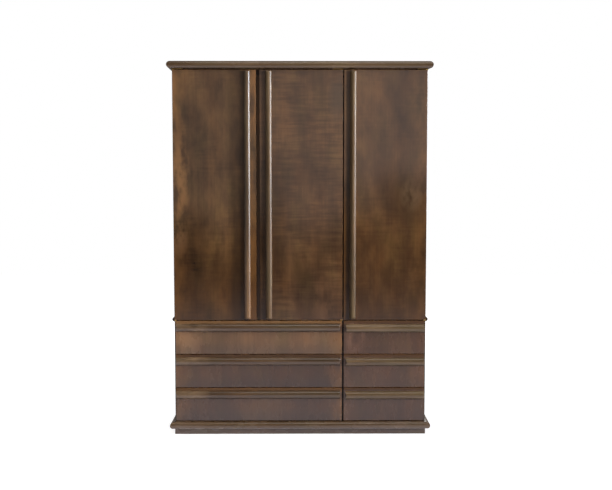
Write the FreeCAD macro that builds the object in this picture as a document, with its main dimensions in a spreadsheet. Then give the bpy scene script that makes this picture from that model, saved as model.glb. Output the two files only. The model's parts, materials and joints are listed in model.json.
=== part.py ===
import FreeCAD, Part
import Sketcher
import math
import os
import re

# Wardrobe: three pivot-hung doors over two columns of three drawers, between a bullnose crown
# and a bullnose base on a recessed plinth. Millimetres; X to the right, front at -Y, Z up; the
# origin is on the floor, in the middle of the footprint.

doc = FreeCAD.newDocument("Wardrobe")
sizes = doc.addObject("Spreadsheet::Sheet", "Sizes")

driving_sizes = [
    ("overall_width", 1566, "crown and base, end to end"),
    ("overall_depth", 600, "crown and base, front to back"),
    ("overall_height", 2230, "floor to the top of the crown"),
    ("overhang", 28, "crown and base beyond the doors and the carcass sides"),
    ("moulding_thickness", 44, "crown and base, full bullnose"),
    ("board_thickness", 22, "carcass boards"),
    ("front_thickness", 22, "doors and drawer fronts"),
    ("front_clearance", 2, "doors and drawer fronts ahead of the carcass"),
    ("edge_round", 2, "eased front edges of doors and drawer fronts"),
    ("plinth_height", 36, "floor to the base"),
    ("plinth_setback", 38, "plinth behind the front of the base"),
    ("plinth_end_setback", 26, "plinth inside the ends of the base"),
    ("mid_underside", 685, "floor to the underside of the mid board"),
    ("mid_thickness", 25, "mid board, half-round at both ends"),
    ("mid_overhang", 14, "mid board beyond the carcass sides"),
    ("back_thickness", 8, "back panels"),
    ("back_lap", 10, "rebate of the sides that holds the back panels"),
    ("divider_centre", 256.5, "middle of the upper and lower dividers"),
    ("post_width", 46, "upright behind the meeting edges of the wide pair of doors"),
    ("top_rail_height", 58, "rail behind the heads of the doors"),
    ("doors_width", 1506, "three doors with their gaps"),
    ("pair_gap", 21, "between the left and the middle door"),
    ("single_gap", 7, "between the middle and the right door"),
    ("door_bottom", 698, "floor to the lower edge of the doors"),
    ("door_top_gap", 6, "doors below the crown"),
    ("rail_width", 38, "door rails"),
    ("rail_depth", 20, "door rails"),
    ("rail_inset", 34, "door rails from the free edge"),
    ("rail_end_inset", 7, "door rails from the top and bottom edges"),
    ("pivot_inset", 6, "hinge axis from the door's hinge edge"),
    ("pivot_setback", 7, "hinge axis behind the door's face"),
    ("pin_radius", 2.5, "hinge pins"),
    ("pin_play", 0.05, "pin in its bush, on the radius"),
    ("pin_reach", 12, "hinge pins inside the doors"),
    ("bush_radius", 4.5, "bush barrels"),
    ("bush_depth", 14, "bush barrels into the door"),
    ("bush_plate_length", 44, "bush plates"),
    ("bush_plate_width", 10, "bush plates"),
    ("bush_plate_thickness", 2, "bush plates, let in flush"),
    ("plate_width", 14, "pivot plates"),
    ("plate_thickness", 3, "pivot plates"),
    ("plate_length", 60, "top pivot plates"),
    ("plate_housing", 30, "bottom pivot plates into the mid board"),
    ("plate_end_radius", 6, "rounded front ends of the bottom pivot plates"),
    ("collar_radius", 5, "collars on the bottom pins"),
    ("collar_height", 2, "collars on the bottom pins"),
    ("catch_length", 40, "magnetic catches"),
    ("catch_height", 16, "magnetic catches"),
    ("catch_depth", 19, "magnetic catches"),
    ("catch_gap", 0.6, "catch to the door's back"),
    ("catch_inset", 70, "middle of a catch from the door's free edge"),
    ("strike_thickness", 1.5, "strike plates, let in flush"),
    ("drawer_gap", 4, "around the rows of drawers"),
    ("drawers_top", 691, "floor to the upper edge of the top drawer fronts"),
    ("front_reveal", 7.5, "carcass edge left bare beside the drawer fronts"),
    ("centre_gap", 10, "between the two columns of drawer fronts"),
    ("pull_height", 50, "drawer pulls"),
    ("pull_depth", 24, "drawer pulls"),
    ("pull_drop_left", 15, "left pulls below the front's upper edge"),
    ("pull_drop_right", 19, "right pulls below the front's upper edge"),
    ("pull_outer_inset", 2, "pulls from the front's outer edge"),
    ("pull_inner_inset", 11, "pulls from the front's inner edge"),
    ("flank", 4, "straight edge of rails and pulls against the face"),
    ("end_round", 10, "rounded ends of rails and pulls"),
    ("box_play", 1, "drawer side to carcass"),
    ("box_side", 16, "drawer sides"),
    ("box_back", 14, "drawer backs"),
    ("box_height", 160, "drawer sides"),
    ("box_length", 500, "drawer sides"),
    ("box_rise", 16, "drawer sides above the front's lower edge"),
    ("bottom_thickness", 6, "drawer bottoms"),
    ("bottom_rise", 10, "drawer bottoms above the lower edge of the sides"),
    ("bottom_housing", 6, "drawer bottoms into sides and front"),
    ("back_housing", 6, "drawer backs into the sides"),
    ("back_inset", 16, "drawer backs from the rear ends of the sides"),
    ("tongue_length", 8, "dovetail tongues into the front"),
    ("tongue_neck", 8, "dovetail tongues where they leave the sides"),
    ("tongue_tip", 12, "dovetail tongues at their ends"),
    ("runner_height", 16, "runner battens"),
    ("runner_thickness", 10, "runner battens"),
    ("runner_length", 510, "runner battens"),
    ("runner_rise", 72, "runner groove above the lower edge of the sides"),
    ("runner_play", 0.4, "runner batten in its groove"),
    ("shelf_count", 4, "shelves in the narrow compartment"),
    ("shelf_thickness", 18, "shelves"),
    ("shelf_depth", 500, "shelves"),
    ("shelf_play", 0.5, "shelf ends to the compartment walls"),
    ("batten_section", 18, "shelf battens"),
    ("batten_length", 470, "shelf battens"),
    ("pole_radius", 14, "clothes rail"),
    ("pole_height", 2115, "floor to the middle of the clothes rail"),
    ("pole_forward", 22, "clothes rail behind the middle of the depth"),
    ("socket_radius", 22, "clothes rail sockets"),
    ("socket_flange", 30, "flange radius of the sockets"),
    ("socket_depth", 18, "clothes rail sockets"),
    ("socket_floor", 5, "flange thickness of the sockets"),
    ("socket_play", 0.5, "clothes rail in its sockets"),
]
for row, (alias, size, meaning) in enumerate(driving_sizes, start=1):
    sizes.set(f"A{row}", meaning)
    sizes.set(f"B{row}", str(size))
    sizes.setAlias(f"B{row}", alias)
doc.recompute()
aliases = {alias for alias, size, meaning in driving_sizes}

# Places that several pieces share, as formulas in the words of the sheet
carcass_end = "(overall_width / 2 - overhang)"
inner_end = "(overall_width / 2 - overhang - board_thickness)"
front_plane = "(-overall_depth / 2 + overhang)"
front_back = "(-overall_depth / 2 + overhang + front_thickness)"
carcass_front = "(-overall_depth / 2 + overhang + front_thickness + front_clearance)"
carcass_depth = "(overall_depth - overhang - front_thickness - front_clearance)"
inner_depth = f"({carcass_depth} - back_thickness)"
lower_floor = "(plinth_height + board_thickness)"
mid_top = "(mid_underside + mid_thickness)"
crown_underside = "(overall_height - moulding_thickness)"
ceiling = "(overall_height - board_thickness)"
divider_left = "(divider_centre - board_thickness / 2)"
divider_right = "(divider_centre + board_thickness / 2)"
door_width = "((doors_width - pair_gap - single_gap) / 3)"
door_height = f"({crown_underside} - door_top_gap - door_bottom)"
pivot_line = f"({front_plane} + pivot_setback)"
drawer_pitch = f"((drawers_top - plinth_height - moulding_thickness) / 3)"
drawer_height = f"({drawer_pitch} - drawer_gap)"
first_drawer = "(plinth_height + moulding_thickness + drawer_gap)"
catch_bottom = f"({ceiling} - top_rail_height - catch_height)"

sub_parts = []


def formula(text):
    """Writes the sheet's name before each of its words."""
    return re.sub(r"[a-z_]+", lambda word: "Sizes." + word[0] if word[0] in aliases else word[0],
                  str(text))


def number(text):
    return float(sizes.evalExpression(formula(text)))


def bind(thing, **texts):
    for name, text in texts.items():
        thing.setExpression(name, formula(text))


def place(thing, x, y, z):
    for axis, text in zip("xyz", (x, y, z)):
        thing.setExpression(f"Placement.Base.{axis}", formula(text))


def keep(thing):
    """Lists a finished sub-part, which is written under its Label."""
    sub_parts.append(thing)
    return thing


def new_body(label, x, y, z):
    body = doc.addObject("PartDesign::Body", label)
    place(body, x, y, z)
    return body


def primitive(body, kind, name, x, y, z, **texts):
    feature = body.newObject(f"PartDesign::{kind}", name)
    bind(feature, **texts)
    place(feature, x, y, z)
    return feature


def cut(body, name, x, y, z, width, depth, height):
    return primitive(body, "SubtractiveBox", name, x, y, z, Length=width, Width=depth, Height=height)


def board(label, x, y, z, width, depth, height):
    """A plain board with its lower left front corner at x, y, z."""
    body = new_body(label, x, y, z)
    primitive(body, "AdditiveBox", "Stock", 0, 0, 0, Length=width, Width=depth, Height=height)
    return body


def group(label, members):
    """Like pieces that share one node, as separate solids."""
    compound = doc.addObject("Part::Compound", label)
    compound.Links = members
    return keep(compound)


def mirrored(label, source, x=0):
    twin = doc.addObject("Part::Mirroring", label)
    twin.Source = source
    twin.Normal = (1, 0, 0)
    twin.setExpression("Base.x", formula(x))
    return twin


def new_sketch(body, name, role):
    plane = next(item for item in body.Origin.OriginFeatures if item.Role == role)
    sketch = body.newObject("Sketcher::SketchObject", name)
    sketch.AttachmentSupport = (plane, [""])
    sketch.MapMode = "FlatFace"
    return sketch


def constrain(sketch, *items, size=None, name=None):
    index = sketch.addConstraint(Sketcher.Constraint(*items, *([number(size)] if size else [])))
    if size:
        sketch.renameConstraint(index, name)
        sketch.setExpression(f"Constraints.{name}", formula(size))


def line(sketch, start, end):
    return sketch.addGeometry(Part.LineSegment(FreeCAD.Vector(*start, 0), FreeCAD.Vector(*end, 0)))


def arc(sketch, centre, radius, first, last):
    circle = Part.Circle(FreeCAD.Vector(*centre, 0), FreeCAD.Vector(0, 0, 1), radius)
    return sketch.addGeometry(Part.ArcOfCircle(circle, math.radians(first), math.radians(last)))


def join(sketch, *edges):
    """Joins the end of each edge to the start of the next, all the way round."""
    for first, second in zip(edges, edges[1:] + edges[:1]):
        constrain(sketch, "Coincident", first, 2, second, 1)


def polygon(sketch, name, corners):
    """A closed outline whose corners are given as formulas, from the sketch's origin."""
    points = [(number(x), number(y)) for x, y in corners]
    edges = [line(sketch, start, end) for start, end in zip(points, points[1:] + points[:1])]
    join(sketch, *edges)
    for count, (edge, (x, y), point) in enumerate(zip(edges, corners, points), start=1):
        for kind, text, value, axis in (("X", x, point[0], -2), ("Y", y, point[1], -1)):
            if value:
                constrain(sketch, f"Distance{kind}", -1, 1, edge, 1, size=text,
                          name=f"{name}{kind}{count}")
            else:
                constrain(sketch, "PointOnObject", edge, 1, axis)


def nose_outline(sketch, depth, thickness):
    """A board's section with a full half-round nose at the sketch's vertical axis."""
    d, t = number(depth), number(thickness)
    nose = arc(sketch, (t / 2, t / 2), t / 2, 90, 270)
    under = line(sketch, (t / 2, 0), (d, 0))
    rear = line(sketch, (d, 0), (d, t))
    top = line(sketch, (d, t), (t / 2, t))
    constrain(sketch, "Tangent", nose, 2, under, 1)
    constrain(sketch, "Coincident", under, 2, rear, 1)
    constrain(sketch, "Coincident", rear, 2, top, 1)
    constrain(sketch, "Tangent", top, 2, nose, 1)
    constrain(sketch, "Vertical", rear)
    constrain(sketch, "Horizontal", under)
    constrain(sketch, "PointOnObject", under, 2, -1)
    constrain(sketch, "Tangent", nose, -2)
    constrain(sketch, "DistanceX", -1, 1, rear, 1, size=depth, name="Depth")
    constrain(sketch, "DistanceY", rear, 1, rear, 2, size=thickness, name="Thickness")


def rail_outline(sketch, width, depth):
    """D section: short straight flanks against the face, then one flat arc over the front."""
    w, d, f = number(width), number(depth), number("flank")
    rise = d - f
    radius = (w * w / 4 + rise * rise) / (2 * rise)
    turn = math.degrees(math.asin(w / 2 / radius))
    face = line(sketch, (d, 0), (d, w))
    upper = line(sketch, (d, w), (d - f, w))
    front = arc(sketch, (radius, w / 2), radius, 180 - turn, 180 + turn)
    lower = line(sketch, (d - f, 0), (d, 0))
    join(sketch, face, upper, front, lower)
    constrain(sketch, "Vertical", face)
    constrain(sketch, "Horizontal", upper)
    constrain(sketch, "PointOnObject", face, 1, -1)
    constrain(sketch, "PointOnObject", lower, 1, -1)
    constrain(sketch, "Equal", upper, lower)
    constrain(sketch, "Tangent", front, -2)
    constrain(sketch, "DistanceX", -1, 1, face, 1, size=depth, name="Depth")
    constrain(sketch, "DistanceY", face, 1, face, 2, size=width, name="Width")
    constrain(sketch, "DistanceX", lower, 1, lower, 2, size="flank", name="Flank")


def end_rounding(sketch, length):
    """The two front corners that round off the ends of a rail, seen square to its length."""
    span, r = number(length), number("end_round")
    left = (line(sketch, (0, 0), (r, 0)), arc(sketch, (r, r), r, 180, 270), line(sketch, (0, r), (0, 0)))
    right = (line(sketch, (span - r, 0), (span, 0)), line(sketch, (span, 0), (span, r)),
             arc(sketch, (span - r, r), r, 270, 360))
    constrain(sketch, "Coincident", left[0], 1, -1, 1)
    constrain(sketch, "Coincident", left[2], 2, -1, 1)
    constrain(sketch, "Tangent", left[0], 2, left[1], 2)
    constrain(sketch, "Tangent", left[1], 1, left[2], 1)
    constrain(sketch, "Horizontal", left[0])
    constrain(sketch, "Vertical", left[2])
    constrain(sketch, "Coincident", right[0], 2, right[1], 1)
    constrain(sketch, "Tangent", right[0], 1, right[2], 1)
    constrain(sketch, "Tangent", right[1], 2, right[2], 2)
    constrain(sketch, "PointOnObject", right[0], 2, -1)
    constrain(sketch, "Horizontal", right[0])
    constrain(sketch, "Vertical", right[1])
    constrain(sketch, "Radius", left[1], size="end_round", name="LeftRound")
    constrain(sketch, "Radius", right[2], size="end_round", name="RightRound")
    constrain(sketch, "DistanceX", -1, 1, right[0], 2, size=length, name="Length")


def pad(body, sketch, name, length, backwards=False):
    feature = body.newObject("PartDesign::Pad", name)
    feature.Profile = sketch
    feature.Reversed = backwards
    bind(feature, Length=length)
    return feature


def pocket(body, sketch, name, length=None):
    """Cuts upwards from a sketch on the body's lowest plane, to a length or right through."""
    feature = body.newObject("PartDesign::Pocket", name)
    feature.Profile = sketch
    feature.Reversed = True
    if length:
        bind(feature, Length=length)
    else:
        feature.Type = "ThroughAll"
    return feature


def rail(label, x, y, z, length, width, depth):
    """D-section rail with rounded ends, lying along X with its front at y."""
    body = new_body(label, x, y, z)
    section = new_sketch(body, "Section", "YZ_Plane")
    rail_outline(section, width, depth)
    pad(body, section, "Bar", length)
    ends = new_sketch(body, "Ends", "XY_Plane")
    end_rounding(ends, length)
    pocket(body, ends, "RoundedEnds")
    return body


def ease_front_edges(body):
    """Rounds the four edges of the front face."""
    doc.recompute()
    edges = body.Tip.Shape.Edges
    names = [f"Edge{index}" for index, edge in enumerate(edges, start=1)
             if edge.BoundBox.YMax < 0.001]
    fillet = body.newObject("PartDesign::Fillet", "EasedEdges")
    fillet.Base = (body.Group[0], names)
    bind(fillet, Radius="edge_round")


# Base and crown

def front_moulding(label, z):
    """Bullnose front length, mitred over the overhang and square against the carcass."""
    body = new_body(label, "-overall_width / 2", "-overall_depth / 2", z)
    depth = "(overhang + front_thickness + front_clearance)"
    section = new_sketch(body, "Section", "YZ_Plane")
    nose_outline(section, depth, "moulding_thickness")
    pad(body, section, "Length", "overall_width")
    corners = new_sketch(body, "Corners", "XY_Plane")
    polygon(corners, "Left", [(0, 0), ("overhang", "overhang"), ("overhang", depth), (0, depth)])
    far = "(overall_width - overhang)"
    polygon(corners, "Right", [("overall_width", 0), ("overall_width", depth), (far, depth),
                               (far, "overhang")])
    pocket(body, corners, "Mitres")
    return keep(body)


def side_moulding(label, z):
    """Left bullnose length with its front end mitred."""
    body = new_body(label, "-overall_width / 2", "-overall_depth / 2", z)
    section = new_sketch(body, "Section", "XZ_Plane")
    nose_outline(section, "overhang", "moulding_thickness")
    pad(body, section, "Length", "overall_depth", backwards=True)
    corner = new_sketch(body, "Corner", "XY_Plane")
    polygon(corner, "Cut", [(0, 0), ("overhang", 0), ("overhang", "overhang")])
    pocket(body, corner, "Mitre")
    return keep(body)


def moulding_frame(name, z):
    front_moulding(f"{name}_front", z)
    left = side_moulding(f"{name}_left", z)
    keep(mirrored(f"{name}_right", left))


def plinth():
    width = "(overall_width - 2 * plinth_end_setback)"
    left = "(-overall_width / 2 + plinth_end_setback)"
    front = "(-overall_depth / 2 + plinth_setback)"
    rear = "(overall_depth / 2 - board_thickness)"
    between = f"({rear} - {front} - board_thickness)"
    group("plinth", [
        board("PlinthFront", left, front, 0, width, "board_thickness", "plinth_height"),
        board("PlinthBack", left, rear, 0, width, "board_thickness", "plinth_height"),
        board("PlinthLeft", left, f"{front} + board_thickness", 0,
              "board_thickness", between, "plinth_height"),
        board("PlinthRight", f"-{left} - board_thickness", f"{front} + board_thickness", 0,
              "board_thickness", between, "plinth_height")])


# Carcass

def carcass_side(label, z, height):
    """Left side board, rebated along its rear inner edge for the back panel."""
    body = board(label, f"-{carcass_end}", carcass_front, z, "board_thickness", carcass_depth, height)
    cut(body, "BackRebate", "board_thickness - back_lap", inner_depth, 0,
        "back_lap", "back_thickness", height)
    return keep(body)


def mid_board():
    """Board between drawers and cupboard: half-round ends, housings for the bottom pivot plates."""
    left = f"(-{carcass_end} - mid_overhang)"
    body = new_body("mid_board", left, carcass_front, "mid_underside")
    section = new_sketch(body, "Section", "XZ_Plane")
    w, t = number(f"-2 * {left}"), number("mid_thickness")
    near = arc(section, (t / 2, t / 2), t / 2, 90, 270)
    under = line(section, (t / 2, 0), (w - t / 2, 0))
    far = arc(section, (w - t / 2, t / 2), t / 2, -90, 90)
    top = line(section, (w - t / 2, t), (t / 2, t))
    for first, second in ((near, under), (under, far), (far, top), (top, near)):
        constrain(section, "Tangent", first, 2, second, 1)
    constrain(section, "Horizontal", under)
    constrain(section, "PointOnObject", under, 1, -1)
    constrain(section, "Tangent", near, -2)
    constrain(section, "Radius", near, size="mid_thickness / 2", name="Nose")
    constrain(section, "DistanceX", under, 1, under, 2,
              size=f"-2 * {left} - mid_thickness", name="Flat")
    pad(body, section, "Board", carcass_depth, backwards=True)
    for name, door in doors.items():
        cut(body, f"Housing_{name}", f"{door['pivot']} - plate_width / 2 - {left}", 0,
            "door_bottom - collar_height - plate_thickness - mid_underside",
            "plate_width", "plate_housing", "plate_thickness")
    return keep(body)


def carcass():
    keep(board("base_panel", f"-{carcass_end}", carcass_front, "plinth_height",
               f"2 * {carcass_end}", carcass_depth, "board_thickness"))
    keep(board("top_panel", f"-{carcass_end}", carcass_front, ceiling,
               f"2 * {carcass_end}", carcass_depth, "board_thickness"))
    lower_height = f"(mid_underside - {lower_floor})"
    upper_height = f"({ceiling} - {mid_top})"
    for level, floor, height in (("lower", lower_floor, lower_height), ("upper", mid_top, upper_height)):
        left = carcass_side(f"{level}_side_left", floor, height)
        keep(mirrored(f"{level}_side_right", left))
        keep(board(f"back_{level}", f"-{inner_end} - back_lap", "overall_depth / 2 - back_thickness", floor,
                   f"2 * ({inner_end} + back_lap)", "back_thickness", height))
        divider = keep(board(f"{level}_divider", divider_left, carcass_front, floor,
                             "board_thickness", inner_depth, height))
        if level == "upper":
            cut(divider, "RailNotch", 0, 0, f"{height} - top_rail_height",
                "board_thickness", "board_thickness", "top_rail_height")
    keep(board("top_rail", f"-{inner_end}", carcass_front, f"{ceiling} - top_rail_height",
               f"2 * {inner_end}", "board_thickness", "top_rail_height"))
    post_centre = f"(-doors_width / 2 + {door_width} + pair_gap / 2)"
    keep(board("centre_post", f"{post_centre} - post_width / 2", carcass_front, mid_top,
               "post_width", "board_thickness", f"{upper_height} - top_rail_height"))


def clothes_rail():
    """Pole across the wide compartment, in two flanged sockets."""
    y = f"({carcass_front} + {inner_depth} / 2 + pole_forward)"
    pole = doc.addObject("Part::Cylinder", "clothes_rail")
    bind(pole, Radius="pole_radius", Height=f"{divider_left} + {inner_end} - 2 * socket_floor")
    pole.Placement.Rotation = FreeCAD.Rotation(FreeCAD.Vector(0, 1, 0), 90)
    place(pole, f"-{inner_end} + socket_floor", y, "pole_height")
    keep(pole)
    socket = new_body("SocketLeft", f"-{inner_end}", y, "pole_height")
    section = new_sketch(socket, "Section", "XY_Plane")
    bore = "(pole_radius + socket_play)"
    polygon(section, "Cup", [(0, 0), ("socket_floor", 0), ("socket_floor", bore), ("socket_depth", bore),
                             ("socket_depth", "socket_radius"), ("socket_floor", "socket_radius"),
                             ("socket_floor", "socket_flange"), (0, "socket_flange")])
    turned = socket.newObject("PartDesign::Revolution", "Cup")
    turned.Profile = section
    turned.ReferenceAxis = (section, ["H_Axis"])
    turned.Angle = 360
    group("rail_sockets", [socket, mirrored("SocketRight", socket, f"({divider_left} - {inner_end}) / 2")])


def shelving():
    """Shelves on battens in the narrow compartment, at an even pitch."""
    clear = f"({ceiling} - {mid_top} - shelf_count * shelf_thickness)"
    shelves, battens = [], []
    front = f"({carcass_front} + {inner_depth} - shelf_depth)"
    for row in range(1, int(number("shelf_count")) + 1):
        under = f"({mid_top} + {row} * {clear} / (shelf_count + 1) + {row - 1} * shelf_thickness)"
        shelves.append(board(f"Shelf{row}", f"{divider_right} + shelf_play", front, under,
                             f"{inner_end} - {divider_right} - 2 * shelf_play", "shelf_depth",
                             "shelf_thickness"))
        for side, x in (("Left", divider_right), ("Right", f"{inner_end} - batten_section")):
            battens.append(board(f"Batten{side}{row}", x, f"{front} + shelf_depth - batten_length",
                                 f"{under} - batten_section", "batten_section", "batten_length",
                                 "batten_section"))
    group("shelves", shelves)
    group("shelf_battens", battens)


# Doors and their hardware

first_door = "(-doors_width / 2)"
second_door = f"({first_door} + {door_width} + pair_gap)"
third_door = f"({second_door} + {door_width} + single_gap)"
# hand is 1 where the door hangs on its left edge and -1 where it hangs on its right edge
doors = {
    "left": {"x": first_door, "hand": 1},
    "middle": {"x": second_door, "hand": -1},
    "right": {"x": third_door, "hand": -1},
}
for door in doors.values():
    hung_left = door["hand"] > 0
    door["hinge_edge"] = door["x"] if hung_left else f"({door['x']} + {door_width})"
    door["free_edge"] = f"({door['x']} + {door_width})" if hung_left else door["x"]
    door["pivot"] = f"({door['hinge_edge']} + {door['hand']} * pivot_inset)"
    door["catch"] = f"({door['free_edge']} - {door['hand']} * catch_inset - catch_length / 2)"


def from_pivot(door, length, overlap):
    """Lowest x of a plate that starts a little beyond the hinge axis and runs into the door."""
    if door["hand"] > 0:
        return f"({door['pivot']} - {overlap})"
    return f"({door['pivot']} + {overlap} - {length})"


def door_panel(name, door):
    """Slab with eased front edges, let in for the bushes at both ends and for the strike."""
    body = board(f"door_{name}_panel", door["x"], front_plane, "door_bottom",
                 door_width, "front_thickness", door_height)
    ease_front_edges(body)
    plate_x = f"{from_pivot(door, 'bush_plate_length', 'bush_plate_width / 2')} - {door['x']}"
    for end, recess, bore in (("Bottom", "0", "0"),
                              ("Top", f"{door_height} - bush_plate_thickness",
                               f"{door_height} - bush_depth")):
        cut(body, f"{end}PlateRecess", plate_x, "pivot_setback - bush_plate_width / 2", recess,
            "bush_plate_length", "bush_plate_width", "bush_plate_thickness")
        primitive(body, "SubtractiveCylinder", f"{end}BushHole", f"{door['pivot']} - {door['x']}",
                  "pivot_setback", bore, Radius="bush_radius", Height="bush_depth")
    cut(body, "StrikeRecess", f"{door['catch']} - {door['x']}", "front_thickness - strike_thickness",
        f"{catch_bottom} - door_bottom", "catch_length", "strike_thickness", "catch_height")
    return keep(body)


def door_rail(name, door):
    """The full-height handle: a D-section rail turned upright near the free edge."""
    length = f"({door_height} - 2 * rail_end_inset)"
    body = rail(f"door_{name}_rail", 0, 0, 0, length, "rail_width", "rail_depth")
    body.Placement.Rotation = FreeCAD.Rotation(FreeCAD.Vector(0, 1, 0), -90)
    right_side = f"({door['free_edge']} - {door['hand']} * (rail_inset + rail_width / 2) + rail_width / 2)"
    place(body, right_side, f"{front_plane} - rail_depth", "door_bottom + rail_end_inset")
    return keep(body)


def bush(label, door, end):
    """Flanged bush in a door edge: the plate lies flush and the barrel takes the pin."""
    z = "door_bottom" if end == "Bottom" else f"(door_bottom + {door_height})"
    body = new_body(label, door["pivot"], pivot_line, z)
    up = 1 if end == "Bottom" else -1
    plate = from_pivot(door, "bush_plate_length", "bush_plate_width / 2")
    primitive(body, "AdditiveBox", "Plate", f"{plate} - {door['pivot']}", "-bush_plate_width / 2",
              "0" if up > 0 else "-bush_plate_thickness", Length="bush_plate_length",
              Width="bush_plate_width", Height="bush_plate_thickness")
    primitive(body, "AdditiveCylinder", "Barrel", 0, 0, "0" if up > 0 else "-bush_depth",
              Radius="bush_radius", Height="bush_depth")
    primitive(body, "SubtractiveCylinder", "Bore", 0, 0, "0" if up > 0 else "-bush_depth",
              Radius="pin_radius + pin_play", Height="bush_depth")
    return body


def door_fittings(name, door):
    strike = board(f"Strike_{name}", door["catch"], f"{front_back} - strike_thickness", catch_bottom,
                   "catch_length", "strike_thickness", "catch_height")
    group(f"door_{name}_fittings", [bush(f"BushBottom_{name}", door, "Bottom"),
                                    bush(f"BushTop_{name}", door, "Top"), strike])


def bottom_plate(name, door):
    """Plate housed in the mid board, with a collar and a pin that carry the door."""
    reach = f"({carcass_front} - {pivot_line} + plate_housing)"
    body = new_body(f"BottomPlate_{name}", door["pivot"], pivot_line,
                    "door_bottom - collar_height - plate_thickness")
    primitive(body, "AdditiveBox", "Leaf", "-plate_width / 2", 0, 0,
              Length="plate_width", Width=reach, Height="plate_thickness")
    primitive(body, "AdditiveCylinder", "LeafEnd", 0, 0, 0,
              Radius="plate_end_radius", Height="plate_thickness")
    primitive(body, "AdditiveCylinder", "Collar", 0, 0, "plate_thickness",
              Radius="collar_radius", Height="collar_height")
    primitive(body, "AdditiveCylinder", "Pin", 0, 0, "plate_thickness + collar_height",
              Radius="pin_radius", Height="pin_reach")
    return body


def top_plate(name, door):
    """Plate on the underside of the crown, with a pin into the head of the door."""
    body = board(f"TopPlate_{name}", from_pivot(door, "plate_length", "plate_width / 2"),
                 f"{pivot_line} - plate_width / 2", f"{crown_underside} - plate_thickness",
                 "plate_length", "plate_width", "plate_thickness")
    reach = "(door_top_gap - plate_thickness + pin_reach)"
    pin_x = f"{door['pivot']} - {from_pivot(door, 'plate_length', 'plate_width / 2')}"
    primitive(body, "AdditiveCylinder", "Pin", pin_x, "plate_width / 2", f"-{reach}",
              Radius="pin_radius", Height=reach)
    return body


def catch(name, door):
    return board(f"Catch_{name}", door["catch"], f"{front_back} + catch_gap", catch_bottom,
                 "catch_length", "catch_depth", "catch_height")


def door_set():
    for name, door in doors.items():
        door_panel(name, door)
        door_rail(name, door)
        door_fittings(name, door)
    group("pivot_plates", [make(name, door) for name, door in doors.items()
                           for make in (bottom_plate, top_plate)])
    group("door_catches", [catch(name, door) for name, door in doors.items()])


# Drawers

columns = {
    "left": {"bay": f"(-{inner_end})", "bay_end": divider_left,
             "x": f"(-{carcass_end} + front_reveal)", "end": "(divider_centre - centre_gap / 2)",
             "pull_start": "pull_outer_inset", "pull_drop": "pull_drop_left"},
    "right": {"bay": divider_right, "bay_end": inner_end,
              "x": "(divider_centre + centre_gap / 2)", "end": f"({carcass_end} - front_reveal)",
              "pull_start": "pull_inner_inset", "pull_drop": "pull_drop_right"},
}
rows = ("lower", "middle", "upper")


def tongue_corners(x, root, tip):
    """Dovetail section: narrow neck at y = root, wide tip at y = tip."""
    return [(f"{x} - tongue_neck / 2", root), (f"{x} - tongue_tip / 2", tip),
            (f"{x} + tongue_tip / 2", tip), (f"{x} + tongue_neck / 2", root)]


def drawer_front(label, column, z):
    """Overlay front: stopped dovetail sockets for the sides and a groove for the bottom."""
    body = board(label, column["x"], front_plane, z, f"{column['end']} - {column['x']}",
                 "front_thickness", drawer_height)
    ease_front_edges(body)
    side_middle = "(box_play + box_side / 2)"
    depths = ("front_thickness", "(front_thickness - tongue_length)")
    sockets = new_sketch(body, "SocketSection", "XY_Plane")
    polygon(sockets, "Near", tongue_corners(f"{column['bay']} + {side_middle} - {column['x']}", *depths))
    polygon(sockets, "Far", tongue_corners(f"{column['bay_end']} - {side_middle} - {column['x']}", *depths))
    pocket(body, sockets, "Sockets", "box_rise + box_height")
    inner = "(box_play + box_side)"
    cut(body, "BottomGroove", f"{column['bay']} + {inner} - {column['x']}",
        "front_thickness - bottom_housing", "box_rise + bottom_rise",
        f"{column['bay_end']} - {column['bay']} - 2 * {inner}", "bottom_housing", "bottom_thickness")
    return keep(body)


def drawer_pull(label, column, z):
    length = f"({column['end']} - {column['x']} - pull_outer_inset - pull_inner_inset)"
    body = rail(label, f"{column['x']} + {column['pull_start']}", f"{front_plane} - pull_depth",
                f"{z} + {drawer_height} - {column['pull_drop']} - pull_height",
                length, "pull_height", "pull_depth")
    return keep(body)


def drawer_side(label, column, z):
    """Left side: dovetail tongue, runner groove outside, bottom and back grooves inside."""
    body = board(label, f"{column['bay']} + box_play", front_back, f"{z} + box_rise",
                 "box_side", "box_length", "box_height")
    section = new_sketch(body, "TongueSection", "XY_Plane")
    polygon(section, "Tongue", tongue_corners("box_side / 2", "0", "-tongue_length"))
    pad(body, section, "Tongue", "box_height")
    groove_depth = "(runner_thickness - box_play + runner_play)"
    cut(body, "RunnerGroove", 0, 0, "runner_rise",
        groove_depth, "box_length", "runner_height + 2 * runner_play")
    cut(body, "BottomGroove", "box_side - bottom_housing", 0, "bottom_rise",
        "bottom_housing", "box_length", "bottom_thickness")
    cut(body, "BackHousing", "box_side - back_housing", "box_length - back_inset - box_back",
        "bottom_rise + bottom_thickness", "back_housing", "box_back",
        "box_height - bottom_rise - bottom_thickness")
    return body


def drawer_box(label, column, z):
    side = drawer_side(f"{label}_side", column, z)
    twin = mirrored(f"{label}_side_twin", side, f"({column['bay']} + {column['bay_end']}) / 2")
    reach = "(box_play + box_side - back_housing)"
    back = board(f"{label}_back", f"{column['bay']} + {reach}",
                 f"{front_back} + box_length - back_inset - box_back",
                 f"{z} + box_rise + bottom_rise + bottom_thickness",
                 f"{column['bay_end']} - {column['bay']} - 2 * {reach}", "box_back",
                 "box_height - bottom_rise - bottom_thickness")
    return group(label, [side, twin, back])


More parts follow.
